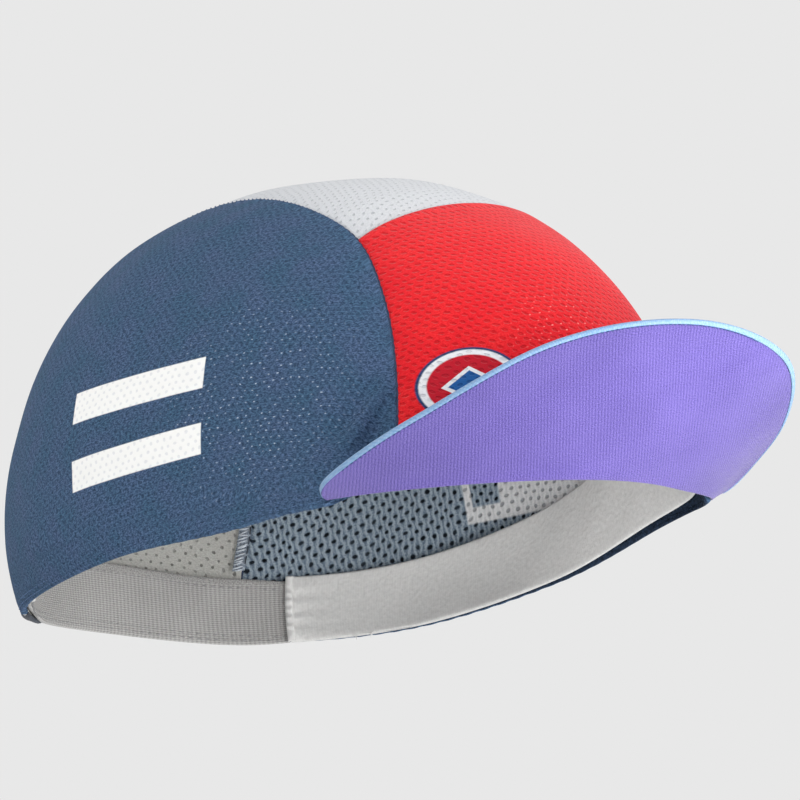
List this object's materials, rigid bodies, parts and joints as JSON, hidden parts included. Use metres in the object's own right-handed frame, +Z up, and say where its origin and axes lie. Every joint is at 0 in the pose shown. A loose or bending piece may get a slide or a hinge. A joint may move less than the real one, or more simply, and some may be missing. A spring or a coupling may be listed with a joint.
{
  "type": "cycling cap",
  "caption": "Soft knitted cycling cap with side panels, a front panel, a top panel, a short peak turned up, a sweatband inside and a wide elastic at the back.",
  "frame": {"origin": "middle of the head opening, at the mean height of its rim", "axes": "+Z up through the top of the head, -Y to the front where the peak is, +X to the wearer's left"},
  "size_m": [0.149, 0.2154, 0.103],
  "materials": {
    "navy_knit": "perforated polyester knit",
    "red_knit": "perforated polyester knit",
    "white_knit": "perforated polyester knit",
    "lilac_twill": "fine twill",
    "sky_blue_knit": "smooth knit",
    "sweatband_jersey": "brushed jersey",
    "woven_elastic": "woven elastic tape"
  },
  "bodies": {
    "root": {"right_side_panel": "navy_knit", "left_side_panel": "navy_knit", "front_panel": "red_knit", "top_panel": "white_knit", "peak_under": "lilac_twill", "peak_top": "sky_blue_knit", "sweatband": "sweatband_jersey", "back_elastic": "woven_elastic"}
  },
  "joints": []
}
